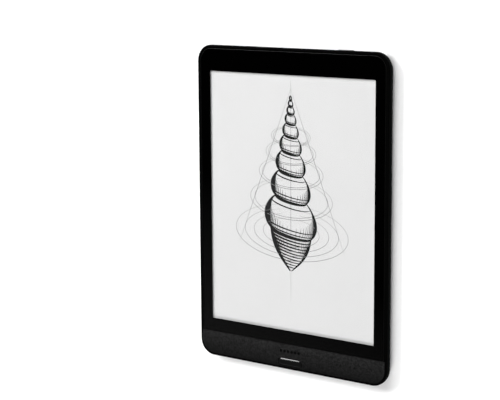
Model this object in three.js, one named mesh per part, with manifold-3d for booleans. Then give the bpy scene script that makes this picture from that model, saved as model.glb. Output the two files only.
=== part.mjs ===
// An e-reader of the 7.8-inch class, lying on its back. Millimetres, +Z out of the screen, +X to the right
// of someone reading it, +Y to its top edge. The origin is on its back face, at the middle of its outline.
// Inside the device group y is counted from the bottom edge, and x from the middle.

import * as THREE from 'three';
import Module from 'manifold-3d';
import { mergeVertices } from 'three/addons/utils/BufferGeometryUtils.js';

const wasm = await Module();
wasm.setup();

// Outline of the whole device.
const WIDTH = 137;
const HEIGHT = 196.3;
const DEPTH = 7.7;
const CORNER_R = 10;
const HALF_WIDTH = WIDTH / 2;

// The two mouldings meet at the seam.
const SEAM_Z = 5.7;
const SEAM_GAP = 0.05;
const WALL = 1.3;
const EDGE_R = 5.4;
const RIM_ROUND = 0.6;

// Front: cover glass, screen window and chin.
const CHIN_HEIGHT = 15.7;
const CHIN_UNDERSIDE_Z = 6.5;
const RIM_WIDTH = 2.1;
const GLASS_GAP = 0.1;
const GLASS_THICK = 0.7;
const GLASS_LOW_CORNER_R = 1.2;
const WINDOW_HALF_WIDTH = 59.2;
const WINDOW_BOTTOM = 24.3;
const WINDOW_TOP = 180.4;

// Heights of the layers under the glass, each [underside, top].
const GLASS_Z = [DEPTH - GLASS_THICK, DEPTH];
const PRINT_Z = [6.9, 6.95];
const TOUCH_Z = [6.6, 6.85];
const LEDGE_Z = [6.0, 6.55];
const GUIDE_Z = [6.05, 6.5];
const DRIVER_Z = [5.77, 5.98];
const FILM_Z = [5.8, 6.0];
const BACKPLANE_Z = [5.25, 5.75];
const FOAM_Z = [4.95, 5.2];
const MIDFRAME_Z = [4.3, 4.9];
const BOARD_Z = [2.7, 3.5];
const BOARD_UNDERSIDE = BOARD_Z[0] - 0.02;
const BOARD_TOPSIDE = BOARD_Z[1] + 0.02;
const SKIRT_Z = [4.95, 6.0];

// The ring of the front frame that stands down inside the rear cover, counted in from the outline.
const SKIRT_OUTSIDE = 1.9;
const SKIRT_INSIDE = 5.8;

// Notch in the ledge and the tape, which the touch layer's tail passes through.
const TOUCH_NOTCH_X = [27, 45];
const TOUCH_NOTCH_BOTTOM = 16.4;

// The opening in the front frame's ledge, which the display looks through.
const LEDGE_HALF_WIDTH = 62.5;
const LEDGE_BOTTOM = 18.2;
const LEDGE_TOP = 184.4;

// Home button: a pill on the chin.
const HOME_Y = 4.3;
const HOME_LENGTH = 17.6;
const HOME_TALL = 4.4;
const HOME_TOP_Z = 7.6;
const HOME_FLANGE_Z = [6.2, 6.45];
const HOME_FLANGE_OVERHANG = 0.4;
const HOME_SWITCH_Z = [5.37, 5.85];
const HOME_BOARD_Z = [4.95, 5.35];
const HOME_BAY_HALF_WIDTH = 16;
const HOME_SCREW_SPOTS = [-13, 13];

// Power button: a pill in the top edge, in the rear cover's wall and just under the seam.
const POWER_X = 37.4;
const POWER_LENGTH = 10.5;
const POWER_Z = [3.2, 5.6];
const POWER_PROUD = 0.2;
const POWER_FLANGE_Y = [193.45, 194.05];
const POWER_SWITCH_Y = [189.6, 192.9];
const POWER_SWITCH_Z = [3.5, 5.28];
const POWER_BAY_HALF_WIDTH = 8;
const POWER_BAY_Y = [188.5, 194.5];
const BUTTON_GAP = 0.12;

// Charging socket in the middle of the bottom edge.
const USB_WIDTH = 8.94;
const USB_TALL = 3.2;
const USB_CENTRE_Z = 3.3;
const USB_Y = [1.6, 8.95];
const USB_SHEET = 0.3;
const USB_MOUTH_GAP = 0.15;

// Flat tails and the antenna are strips of this thickness.
const TAIL_THICK = 0.12;

// Board, battery and what is on them.
const BOARD_HALF_WIDTH = 54;
const BOARD_Y = [10.5, 50];
const BOARD_TONGUE_HALF_WIDTH = 11.5;
const BOARD_TONGUE_Y = 3.6;
const STANDOFF_SPOTS = [[-50, 14], [50, 14], [-50, 46.5], [50, 46.5]];
const STANDOFF_R = 2;
const BATTERY_HALF_WIDTH = 48;
const BATTERY_Y = [61.5, 150];
const BATTERY_Z = [1.45, 4.1];
const BATTERY_LEAD_X = 25;

// Screws of the midframe, in the middle of the front frame's skirt.
const SKIRT_MIDDLE = 4;
const FRAME_SCREW_SPOTS = [
  [-HALF_WIDTH + SKIRT_MIDDLE, 40], [HALF_WIDTH - SKIRT_MIDDLE, 40],
  [-HALF_WIDTH + SKIRT_MIDDLE, 156], [HALF_WIDTH - SKIRT_MIDDLE, 156],
  [-42, SKIRT_MIDDLE], [42, SKIRT_MIDDLE],
  [-42, HEIGHT - SKIRT_MIDDLE], [8, HEIGHT - SKIRT_MIDDLE],
];

// Snap clips between the two mouldings: places along each edge.
const SIDE_CLIPS = [22, 72, 122, 172];
const CLIPS = { left: SIDE_CLIPS, right: SIDE_CLIPS, bottom: [-28, 28], top: [-54, -18, 22] };
const CLIP_LENGTH = 6;
const CATCH_Z = [4.85, 5.2];
const HOOK_Z = [4.4, 4.75];

// Radius of the holes that the frame screws cut their thread in, and of the wider ones that they pass.
const FRAME_HOLE_R = 0.6;
const CLEARANCE_HOLE_R = 0.7;

const CORNER_STEPS = 9;
const ROUND_STEPS = 20;
const HOLE_SIDES = 12;
const FAR = 200;

// ---- materials ----------------------------------------------------------------------------------

function material(color, roughness, metalness = 0) {
  return new THREE.MeshStandardMaterial({ color, roughness, metalness });
}

const blackShell = material(0x0b0b0c, 0.6);
const greyFrame = material(0x2a2a2b, 0.5);
const clearGlass = material(0x9aa5a8, 0.05);
const blackPrint = material(0x050505, 0.3);
const whiteTape = material(0xd8d8d2, 0.8);
const clearFilm = material(0xcfd6d8, 0.15);
const paperFilm = material(0xdfe0dc, 0.8);
const backplaneGlass = material(0x59656b, 0.2);
const blackFoam = material(0x1b1b1b, 0.95);
const brightMetal = material(0xb9bcbf, 0.35, 1);
const dullMetal = material(0x8c9093, 0.5, 1);
const greenBoard = material(0x14532f, 0.5);
const amberFlex = material(0xb4621c, 0.45);
const chipBlack = material(0x101113, 0.5);
const ivoryPlastic = material(0xe6e1d2, 0.6);
const batteryFoil = material(0xaeb3b8, 0.4, 0.6);
const glossBlack = material(0x060607, 0.15);
const leadRed = material(0x8e1a1a, 0.5);
const leadBlack = material(0x131313, 0.5);

// ---- shapes -------------------------------------------------------------------------------------

// A rectangle with rounded corners. radii: low left, low right, high right and high left corner.
function roundedOutline(x0, y0, x1, y1, radii, steps = CORNER_STEPS) {
  const corners = [[x0, y0, 1, 1], [x1, y0, -1, 1], [x1, y1, -1, -1], [x0, y1, 1, -1]];
  const points = [];
  corners.forEach(([x, y, inX, inY], corner) => {
    const r = radii[corner];
    for (let step = 0; step <= steps; step += 1) {
      const angle = Math.PI + (corner + step / steps) * Math.PI / 2;
      points.push(new THREE.Vector2(x + inX * r + r * Math.cos(angle), y + inY * r + r * Math.sin(angle)));
    }
  });
  return new THREE.Shape(points);
}

// The device's outline, moved in by inset.
function deviceOutline(inset) {
  const r = CORNER_R - inset;
  return roundedOutline(-HALF_WIDTH + inset, inset, HALF_WIDTH - inset, HEIGHT - inset, [r, r, r, r]);
}

function pill(length, tall, x, y, steps = 8) {
  const r = tall / 2 - 0.001;
  return roundedOutline(x - length / 2, y - tall / 2, x + length / 2, y + tall / 2, [r, r, r, r], steps);
}

function slab(shape, [z0, z1]) {
  return new THREE.ExtrudeGeometry(shape, { depth: z1 - z0, bevelEnabled: false }).translate(0, 0, z0);
}

// A slab whose two faces are drawn in by a quarter round, across wide and along deep.
function roundedSlab(shape, [z0, z1], across, along, segments) {
  const bevel = { bevelEnabled: true, bevelSize: across, bevelThickness: along, bevelSegments: segments };
  const depth = z1 - z0 - 2 * along;
  return new THREE.ExtrudeGeometry(shape, { depth, ...bevel }).translate(0, 0, z0 + along);
}

function box([x0, x1], [y0, y1], [z0, z1]) {
  const centre = [(x0 + x1) / 2, (y0 + y1) / 2, (z0 + z1) / 2];
  return new THREE.BoxGeometry(x1 - x0, y1 - y0, z1 - z0).translate(...centre);
}

// A box at one edge of the device, from one distance inside the outline to another.
function edgeBox(edge, place, length, [outside, inside], zSpan) {
  const along = [place - length / 2, place + length / 2];
  const spans = {
    left: [[-HALF_WIDTH + outside, -HALF_WIDTH + inside], along],
    right: [[HALF_WIDTH - inside, HALF_WIDTH - outside], along],
    bottom: [along, [outside, inside]],
    top: [along, [HEIGHT - inside, HEIGHT - outside]],
  };
  return box(...spans[edge], zSpan);
}

function post(radius, x, y, [z0, z1], sides = ROUND_STEPS) {
  const cylinder = new THREE.CylinderGeometry(radius, radius, z1 - z0, sides);
  return cylinder.rotateX(Math.PI / 2).translate(x, y, (z0 + z1) / 2);
}

// A slab whose shape is drawn across x and z, from one y to another.
function slabAlongY(shape, [y0, y1]) {
  return slab(shape, [-y1, -y0]).rotateX(Math.PI / 2);
}

function solid(geometry) {
  const bare = geometry.clone();
  bare.deleteAttribute('normal');
  bare.deleteAttribute('uv');
  const merged = mergeVertices(bare);
  const vertProperties = new Float32Array(merged.attributes.position.array);
  const triVerts = new Uint32Array(merged.index.array);
  return new wasm.Manifold(new wasm.Mesh({ numProp: 3, vertProperties, triVerts }));
}

function geometryOf(manifold) {
  const mesh = manifold.getMesh();
  const geometry = new THREE.BufferGeometry();
  geometry.setAttribute('position', new THREE.BufferAttribute(mesh.vertProperties, 3));
  geometry.setIndex(new THREE.BufferAttribute(mesh.triVerts, 1));
  return geometry;
}

function join(...geometries) {
  return geometryOf(geometries.map(solid).reduce((whole, next) => whole.add(next)));
}

function cut(geometry, ...cutters) {
  return geometryOf(cutters.map(solid).reduce((whole, next) => whole.subtract(next), solid(geometry)));
}

function keep(geometry, region) {
  return geometryOf(solid(geometry).intersect(solid(region)));
}

function everyClip(make) {
  return Object.entries(CLIPS).flatMap(([edge, places]) => places.flatMap((place) => make(edge, place)));
}

// ---- enclosure ----------------------------------------------------------------------------------

function usbMouth(gap, ySpan) {
  const width = USB_WIDTH + 2 * gap;
  const tall = USB_TALL + 2 * gap;
  return slabAlongY(pill(width, tall, 0, USB_CENTRE_Z, 6), ySpan);
}

function powerSlot() {
  const [low, high] = POWER_Z;
  const tall = high - low + 2 * BUTTON_GAP;
  const pillCut = pill(POWER_LENGTH + 2 * BUTTON_GAP, tall, POWER_X, (low + high) / 2, 6);
  return slabAlongY(pillCut, [HEIGHT - 3.5, HEIGHT + 1]);
}

// The tray: a quarter round up from the back face, one wall thick, with a catch for each clip.
function rearCover() {
  const everywhere = [[-FAR, FAR], [-FAR, 2 * FAR]];
  const outside = roundedSlab(deviceOutline(EDGE_R), [0, 4 * EDGE_R], EDGE_R, EDGE_R, 8);
  const inside = roundedSlab(deviceOutline(EDGE_R), [WALL, 4 * EDGE_R], EDGE_R - WALL, EDGE_R - WALL, 6);
  const tray = cut(keep(outside, box(...everywhere, [-1, SEAM_Z])), inside);
  const catchSpan = [WALL - 0.3, WALL + 0.4];
  const catches = everyClip((edge, place) => edgeBox(edge, place, CLIP_LENGTH, catchSpan, CATCH_Z));
  return cut(join(tray, ...catches), usbMouth(USB_MOUTH_GAP, [-1, 4]), powerSlot());
}

// A post under the chin, which a screw holds the home button's board to.
function homeBoss(x) {
  return post(1.5, x, HOME_Y, [HOME_BOARD_Z[1] + 0.05, CHIN_UNDERSIDE_Z + 0.1]);
}

// Rim, chin, ledge for the glass, and the skirt that stands down inside the rear cover with its clips.
function frontFrame() {
  const everywhere = [[-FAR, FAR], [-FAR, 2 * FAR]];
  const outer = roundedSlab(deviceOutline(RIM_ROUND), [0, DEPTH], RIM_ROUND, RIM_ROUND, 5);
  const rim = keep(outer, box(...everywhere, [SEAM_Z + SEAM_GAP, FAR]));
  const skirt = slab(deviceOutline(SKIRT_OUTSIDE), [SKIRT_Z[0], SKIRT_Z[1] + 0.2]);
  const armSpan = [SKIRT_OUTSIDE, SKIRT_OUTSIDE + 0.5];
  const hookSpan = [SKIRT_OUTSIDE - 0.45, SKIRT_OUTSIDE + 0.5];
  const clips = everyClip((edge, place) => [
    edgeBox(edge, place, CLIP_LENGTH, armSpan, [HOOK_Z[0], SKIRT_Z[0] + 0.2]),
    edgeBox(edge, place, CLIP_LENGTH, hookSpan, HOOK_Z),
  ]);
  const innerHalf = HALF_WIDTH - SKIRT_INSIDE;
  const glassPocket = slab(glassOutline(GLASS_GAP), [LEDGE_Z[1], FAR]);
  const ledgeOpening = box([-LEDGE_HALF_WIDTH, LEDGE_HALF_WIDTH], [LEDGE_BOTTOM, LEDGE_TOP], [0, FAR]);
  const underLedge = box([-innerHalf, innerHalf], [SKIRT_INSIDE, HEIGHT - SKIRT_INSIDE], [0, LEDGE_Z[0]]);
  const underChin = box([-innerHalf, innerHalf], [SKIRT_INSIDE, CHIN_HEIGHT - 0.5], [0, CHIN_UNDERSIDE_Z]);
  const homeBaySpan = [-HOME_BAY_HALF_WIDTH, HOME_BAY_HALF_WIDTH];
  const homeBay = box(homeBaySpan, [1.5, SKIRT_INSIDE + 2], [0, CHIN_UNDERSIDE_Z]);
  const holeGap = 2 * BUTTON_GAP;
  const homeHole = slab(pill(HOME_LENGTH + holeGap, HOME_TALL + holeGap, 0, HOME_Y), [0, FAR]);
  const powerBaySpan = [POWER_X - POWER_BAY_HALF_WIDTH, POWER_X + POWER_BAY_HALF_WIDTH];
  const powerBay = box(powerBaySpan, POWER_BAY_Y, [0, LEDGE_Z[0] - 0.02]);
  const touchNotch = box(TOUCH_NOTCH_X, [TOUCH_NOTCH_BOTTOM, LEDGE_BOTTOM + 1], [0, LEDGE_Z[1] + 0.1]);
  const holeZ = [SKIRT_Z[0] - 1, LEDGE_Z[0] - 0.05];
  const screwHoles = FRAME_SCREW_SPOTS.map(([x, y]) => post(FRAME_HOLE_R, x, y, holeZ, HOLE_SIDES));
  const body = cut(join(rim, skirt, ...clips), glassPocket, ledgeOpening, underLedge, underChin, homeBay,
    powerBay, touchNotch, ...screwHoles);
  const bosses = HOME_SCREW_SPOTS.map(homeBoss);
  const bossHoles = HOME_SCREW_SPOTS.map((x) => post(0.5, x, HOME_Y, [5, 6.9], HOLE_SIDES));
  return cut(join(body, ...bosses), homeHole, ...bossHoles);
}

// ---- glass and display --------------------------------------------------------------------------

// The glass, or its pocket when grown by a gap.
function glassOutline(grow) {
  const half = HALF_WIDTH - RIM_WIDTH - GLASS_GAP + grow;
  const bottom = CHIN_HEIGHT + GLASS_GAP - grow;
  const top = HEIGHT - RIM_WIDTH - GLASS_GAP + grow;
  const low = GLASS_LOW_CORNER_R + grow;
  const high = CORNER_R - RIM_WIDTH - GLASS_GAP + grow;
  return roundedOutline(-half, bottom, half, top, [low, low, high, high]);
}

function glassTape() {
  const ring = slab(glassOutline(-0.2), TOUCH_Z);
  const openingHalf = LEDGE_HALF_WIDTH + 0.3;
  const opening = box([-openingHalf, openingHalf], [LEDGE_BOTTOM - 0.1, LEDGE_TOP + 0.2], [0, FAR]);
  const tailGap = box([TOUCH_NOTCH_X[0] - 0.5, TOUCH_NOTCH_X[1] + 0.5], [0, LEDGE_BOTTOM + 1], [0, FAR]);
  return cut(ring, opening, tailGap);
}

function borderPrint() {
  const r = 0.4;
  const sides = [-WINDOW_HALF_WIDTH, WINDOW_BOTTOM, WINDOW_HALF_WIDTH, WINDOW_TOP];
  const window = roundedOutline(...sides, [r, r, r, r], 3);
  return cut(slab(glassOutline(-0.05), PRINT_Z), slab(window, [0, FAR]));
}

// A flat tail that leaves a layer at height top, drops through the midframe's slot and turns in to the
// board.
function tail(xSpan, top, startY) {
  const dropY = 16.9;
  const footZ = 3.85;
  const footEndY = 19.9;
  const corners = [
    [startY, top], [dropY, top], [dropY, footZ - TAIL_THICK], [footEndY, footZ - TAIL_THICK],
    [footEndY, footZ], [dropY + TAIL_THICK, footZ], [dropY + TAIL_THICK, top - TAIL_THICK],
    [startY, top - TAIL_THICK],
  ];
  const outline = new THREE.Shape(corners.map(([y, z]) => new THREE.Vector2(y, z)));
  return alongX(slab(outline, xSpan));
}

// Turns a shape drawn across y and z, and extruded, so that it is extruded along x.
function alongX(geometry) {
  return geometry.applyMatrix4(new THREE.Matrix4().set(0, 0, 1, 0, 1, 0, 0, 0, 0, 1, 0, 0, 0, 0, 0, 1));
}

// ---- chassis, board and battery -----------------------------------------------------------------

function midframe() {
  const plate = slab(deviceOutline(2.5), MIDFRAME_Z);
  const standoffZ = [BOARD_Z[1], MIDFRAME_Z[0] + 0.1];
  const standoffs = STANDOFF_SPOTS.map(([x, y]) => post(STANDOFF_R, x, y, standoffZ));
  const holeSpots = [...STANDOFF_SPOTS, ...FRAME_SCREW_SPOTS];
  const holes = holeSpots.map(([x, y]) => post(CLEARANCE_HOLE_R, x, y, [0, FAR], HOLE_SIDES));
  const homeNotchHalf = HOME_BAY_HALF_WIDTH + 0.5;
  const homeNotch = box([-homeNotchHalf, homeNotchHalf], [0, 9.8], [0, FAR]);
  const powerNotchHalf = POWER_BAY_HALF_WIDTH + 0.5;
  const powerNotchX = [POWER_X - powerNotchHalf, POWER_X + powerNotchHalf];
  const powerNotch = box(powerNotchX, [POWER_BAY_Y[0] - 1, HEIGHT], [0, FAR]);
  const tailSlot = box([-32, 46], [16.2, 18.2], [0, FAR]);
  return cut(join(plate, ...standoffs), ...holes, homeNotch, powerNotch, tailSlot);
}

function mainBoard() {
  const body = box([-BOARD_HALF_WIDTH, BOARD_HALF_WIDTH], BOARD_Y, BOARD_Z);
  const tongueX = [-BOARD_TONGUE_HALF_WIDTH, BOARD_TONGUE_HALF_WIDTH];
  const tongue = box(tongueX, [BOARD_TONGUE_Y, BOARD_Y[0] + 1], BOARD_Z);
  const notchHalf = USB_WIDTH / 2 + 0.3;
  const socketNotch = box([-notchHalf, notchHalf], [0, USB_Y[1] + 0.3], [0, FAR]);
  const holes = STANDOFF_SPOTS.map(([x, y]) => post(0.9, x, y, [0, FAR], HOLE_SIDES));
  return cut(join(body, tongue), socketNotch, ...holes);
}

// A pressed metal can, open towards the board.
function shieldCan([x0, x1], [y0, y1]) {
  const sheet = 0.2;
  const lowZ = 1.5;
  const outside = box([x0, x1], [y0, y1], [lowZ, BOARD_UNDERSIDE]);
  return cut(outside, box([x0 + sheet, x1 - sheet], [y0 + sheet, y1 - sheet], [lowZ + sheet, FAR]));
}

function batteryCell() {
  const r = 1.2;
  const sides = [-BATTERY_HALF_WIDTH, BATTERY_Y[0], BATTERY_HALF_WIDTH, BATTERY_Y[1]];
  const outline = roundedOutline(...sides, [r, r, r, r], 4);
  return slab(outline, BATTERY_Z);
}

// Three insulated wires side by side, bonded into one flat lead.
function batteryLead() {
  const wireR = 0.5;
  const pitch = 0.95;
  const length = 4.8;
  const wire = (x) => new THREE.CylinderGeometry(wireR, wireR, length, 10).translate(x, 54.85, 2.2);
  return join(...[-pitch, 0, pitch].map((offset) => wire(BATTERY_LEAD_X + offset)));
}

// A coaxial lead from the wireless module, between the battery and the cover's wall, up to the antenna.
function antennaLead() {
  const radius = 0.45;
  const sides = 8;
  const stops = [[-48.6, 33], [-54.5, 37], [-56.5, 44], [-56.5, 150], [-54.5, 157], [-50, 160.5]];
  const points = stops.map(([x, y]) => new THREE.Vector3(x, y, 2.05));
  const path = new THREE.CatmullRomCurve3(points, false, 'centripetal');
  const ring = new THREE.Path().absarc(0, 0, radius, 0, 2 * Math.PI).getSpacedPoints(sides);
  const section = new THREE.Shape(ring.slice(0, sides));
  return new THREE.ExtrudeGeometry(section, { extrudePath: path, steps: 32, bevelEnabled: false });
}

// ---- charging socket ----------------------------------------------------------------------------

function usbShell() {
  const width = USB_WIDTH - 2 * USB_SHEET;
  const tall = USB_TALL - 2 * USB_SHEET;
  const tube = slabAlongY(pill(USB_WIDTH, USB_TALL, 0, USB_CENTRE_Z, 6), USB_Y);
  const hollow = slabAlongY(pill(width, tall, 0, USB_CENTRE_Z, 6), [0, USB_Y[1] - 0.4]);
  return cut(tube, hollow);
}

function usbTongue() {
  return box([-3.35, 3.35], [USB_Y[0] + 0.8, USB_Y[1] - 0.45], [USB_CENTRE_Z - 0.35, USB_CENTRE_Z + 0.35]);
}

// ---- buttons ------------------------------------------------------------------------------------

function homeButton() {
  const bevelWidth = 0.8;
  const bevelDeep = 0.45;
  const face = pill(HOME_LENGTH - 2 * bevelWidth, HOME_TALL - 2 * bevelWidth, 0, HOME_Y);
  const whole = roundedSlab(face, [5, HOME_TOP_Z], bevelWidth, bevelDeep, 4);
  const cap = keep(whole, box([-FAR, FAR], [-FAR, FAR], [HOME_FLANGE_Z[0] + 0.1, FAR]));
  const over = 2 * HOME_FLANGE_OVERHANG;
  return join(cap, slab(pill(HOME_LENGTH + over, HOME_TALL + over, 0, HOME_Y), HOME_FLANGE_Z));
}

function homeSwitch() {
  const body = box([-2.2, 2.2], [HOME_Y - 2, HOME_Y + 2], HOME_SWITCH_Z);
  return cut(body, post(1.1, 0, HOME_Y, [0, FAR]));
}

function homeBoard() {
  const plate = box([-15, 15], [1.9, 9], HOME_BOARD_Z);
  return cut(plate, ...HOME_SCREW_SPOTS.map((x) => post(0.6, x, HOME_Y, [0, FAR], HOLE_SIDES)));
}

// A flat tail under the home button's board, down behind it and onto the main board.
function homeFlex() {
  const xSpan = [6, 10];
  const topZ = 4.92;
  const footZ = 3.56;
  const dropY = 9.28;
  const under = box(xSpan, [7.6, dropY + TAIL_THICK], [topZ - TAIL_THICK, topZ]);
  const drop = box(xSpan, [dropY, dropY + TAIL_THICK], [footZ, topZ]);
  const foot = box(xSpan, [dropY, 12.6], [footZ, footZ + TAIL_THICK]);
  return join(under, drop, foot);
}

function powerButton() {
  const bevel = 0.3;
  const [low, high] = POWER_Z;
  const middle = (low + high) / 2;
  const face = pill(POWER_LENGTH - 2 * bevel, high - low - 2 * bevel, POWER_X, middle, 6);
  const depthSpan = [-HEIGHT - POWER_PROUD, 6 - HEIGHT];
  const whole = roundedSlab(face, depthSpan, bevel, bevel, 3).rotateX(Math.PI / 2);
  const [flangeLow, flangeHigh] = POWER_FLANGE_Y;
  const cap = keep(whole, box([0, FAR], [flangeLow + 0.1, 2 * FAR], [0, FAR]));
  const flangeHalf = POWER_LENGTH / 2 + 0.9;
  const flangeX = [POWER_X - flangeHalf, POWER_X + flangeHalf];
  return join(cap, box(flangeX, [flangeLow, flangeHigh], [2.9, 5.85]));
}

const powerMiddleZ = (POWER_SWITCH_Z[0] + POWER_SWITCH_Z[1]) / 2;

function powerSwitch() {
  const body = box([POWER_X - 2.6, POWER_X + 2.6], POWER_SWITCH_Y, POWER_SWITCH_Z);
  const wellZ = [powerMiddleZ - 0.62, powerMiddleZ + 0.62];
  return cut(body, box([POWER_X - 1.35, POWER_X + 1.35], [POWER_SWITCH_Y[1] - 0.85, FAR], wellZ));
}

function powerPlunger() {
  const zSpan = [powerMiddleZ - 0.5, powerMiddleZ + 0.5];
  return box([POWER_X - 1.2, POWER_X + 1.2], [POWER_SWITCH_Y[1] - 0.3, POWER_FLANGE_Y[0] - 0.03], zSpan);
}

// A flat tail from the board's edge, round the battery, up to the power button's board.
function powerFlex() {
  const lowZ = 3.8;
  const highZ = 5.25;
  const zSpan = [lowZ, lowZ + TAIL_THICK];
  const boardX = [36.5, 41.5];
  const outerX = [52, 56];
  const switchX = [35, 40];
  const crossY = [52, 56];
  const returnY = [183, 187];
  const riserY = [188.4 - TAIL_THICK, 188.4];
  const fromBoard = box(boardX, [45.6, crossY[1]], zSpan);
  const across = box([boardX[0], outerX[1]], crossY, zSpan);
  const up = box(outerX, [crossY[0], returnY[1]], zSpan);
  const back = box([switchX[0], outerX[1]], returnY, zSpan);
  const toSwitch = box(switchX, [returnY[0], riserY[1]], zSpan);
  const riser = box(switchX, riserY, [lowZ, highZ]);
  const under = box(switchX, [riserY[0], riserY[1] + 1], [highZ - TAIL_THICK, highZ]);
  return join(fromBoard, across, up, back, toSwitch, riser, under);
}

// ---- screws -------------------------------------------------------------------------------------

// A cross-head screw that points up: its head's face is turned to the back, at headZ[0].
function screw(x, y, { headZ, tipZ, headR, shankR }) {
  const [low, high] = headZ;
  const edge = 0.15;
  const profile = [[0, low], [headR - edge, low], [headR, low + edge], [headR, high], [shankR, high],
    [shankR, tipZ - 0.2], [shankR * 0.5, tipZ], [0, tipZ]];
  const points = profile.map(([r, z]) => new THREE.Vector2(r, z));
  const placed = new THREE.LatheGeometry(points, HOLE_SIDES).rotateX(Math.PI / 2).translate(x, y, 0);
  const arm = headR * 0.55;
  const half = 0.15;
  const slotZ = [low - 1, low + 0.25];
  const slotAcross = box([x - arm, x + arm], [y - half, y + half], slotZ);
  const slotAlong = box([x - half, x + half], [y - arm, y + arm], slotZ);
  return cut(placed, slotAcross, slotAlong);
}

const FRAME_SCREW = { headZ: [3.7, 4.27], tipZ: 5.8, headR: 1.3, shankR: 0.5 };
const BOARD_SCREW = { headZ: [2.05, 2.67], tipZ: 4.7, headR: 1.6, shankR: 0.6 };
const HOME_SCREW = { headZ: [4.35, 4.92], tipZ: 6.7, headR: 1.1, shankR: 0.42 };

// ---- assembly -----------------------------------------------------------------------------------

const device = new THREE.Group();
device.position.y = -HEIGHT / 2;

function add(name, geometry, look) {
  const mesh = new THREE.Mesh(geometry, look);
  mesh.name = name;
  device.add(mesh);
}

add('rear_cover', rearCover(), blackShell);
add('front_frame', frontFrame(), greyFrame);

add('cover_glass', slab(glassOutline(0), GLASS_Z), clearGlass);
add('border_print', borderPrint(), blackPrint);
add('glass_tape', glassTape(), whiteTape);
add('touch_sensor', box([-62.2, 62.2], [18.5, 184.2], TOUCH_Z), clearFilm);
add('touch_flex', tail([29, 43], 6.8, 18.45), amberFlex);
add('light_guide', box([-61.5, 61.5], [20.4, 183.5], GUIDE_Z), clearFilm);
add('light_bar', box([-60, 60], [18.5, 20.3], GUIDE_Z), ivoryPlastic);
add('eink_film', box([-60.2, 60.2], [22, 182.6], FILM_Z), paperFilm);
add('display_backplane', box([-62, 62], [18.4, 184], BACKPLANE_Z), backplaneGlass);
add('display_driver', box([-14, 14], [19, 20.8], DRIVER_Z), chipBlack);
add('display_flex', tail([-20, 16], 5.6, 18.35), amberFlex);
add('display_foam', box([-60, 60], [20, 182], FOAM_Z), blackFoam);

add('midframe', midframe(), dullMetal);
add('main_board', mainBoard(), greenBoard);
add('processor_shield', shieldCan([-28, 0], [20, 44]), brightMetal);
add('processor_chip', box([-22, -8], [24, 38], [1.85, BOARD_UNDERSIDE]), chipBlack);
add('wifi_shield', shieldCan([-48, -34], [24, 38]), brightMetal);
add('memory_chip', box([5, 16], [28, 40], [1.8, BOARD_UNDERSIDE]), chipBlack);
add('power_chip', box([20, 26], [22, 28], [1.9, BOARD_UNDERSIDE]), chipBlack);
add('display_connector', box([-22, 18], [20, 23.5], [BOARD_TOPSIDE, 4.2]), ivoryPlastic);
add('touch_connector', box([28, 44], [20, 23.5], [BOARD_TOPSIDE, 4.2]), ivoryPlastic);
add('power_connector', box([35.5, 42.5], [42, 45.5], [BOARD_TOPSIDE, 4.2]), ivoryPlastic);

const socketSpan = [BATTERY_LEAD_X - 3.5, BATTERY_LEAD_X + 3.5];
add('battery_cell', batteryCell(), batteryFoil);
add('battery_tape', box([-40, 40], [70, 142], [BATTERY_Z[1] + 0.03, MIDFRAME_Z[0] - 0.03]), whiteTape);
add('battery_board', box([8, 36], [57.4, 61.3], [1.6, 3.4]), greenBoard);
add('battery_socket', box(socketSpan, [45, 49], [1.6, BOARD_UNDERSIDE]), ivoryPlastic);
add('battery_plug', box([BATTERY_LEAD_X - 3, BATTERY_LEAD_X + 3], [49.1, 52.3], [1.7, 2.65]), ivoryPlastic);
add('battery_lead', batteryLead(), leadRed);
add('antenna', box([-50, -22], [160, 170], [WALL + 0.02, WALL + 0.02 + TAIL_THICK]), amberFlex);
add('antenna_lead', antennaLead(), leadBlack);

add('usb_shell', usbShell(), brightMetal);
add('usb_tongue', usbTongue(), chipBlack);

add('home_button', homeButton(), glossBlack);
add('home_plunger', post(1, 0, HOME_Y, [HOME_SWITCH_Z[1] - 0.07, HOME_FLANGE_Z[0] - 0.03]), ivoryPlastic);
add('home_switch', homeSwitch(), brightMetal);
add('home_board', homeBoard(), greenBoard);
add('home_flex', homeFlex(), amberFlex);
add('power_button', powerButton(), glossBlack);
add('power_plunger', powerPlunger(), ivoryPlastic);
add('power_switch', powerSwitch(), brightMetal);
add('power_board', box([POWER_X - 7, POWER_X + 7], [188.9, 192.9], [5.3, 5.7]), greenBoard);
add('power_flex', powerFlex(), amberFlex);

FRAME_SCREW_SPOTS.forEach(([x, y], i) => {
  add(`frame_screw_${i + 1}`, screw(x, y, FRAME_SCREW), brightMetal);
});
STANDOFF_SPOTS.forEach(([x, y], i) => {
  add(`board_screw_${i + 1}`, screw(x, y, BOARD_SCREW), brightMetal);
});
HOME_SCREW_SPOTS.forEach((x, i) => {
  add(`home_screw_${i + 1}`, screw(x, HOME_Y, HOME_SCREW), brightMetal);
});

const group = new THREE.Group();
group.add(device);

export default group;
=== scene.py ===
"""The looks of an e-reader lying on its back: mouldings, glass, screen, buttons, socket, light and camera.

Lengths in the shape code are millimetres, and MM turns them into Blender's metres when a mesh is made. Places
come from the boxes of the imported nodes.
"""

import math
from functools import partial

import bmesh
import bpy
from mathutils import Euler, Matrix, Vector


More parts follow.
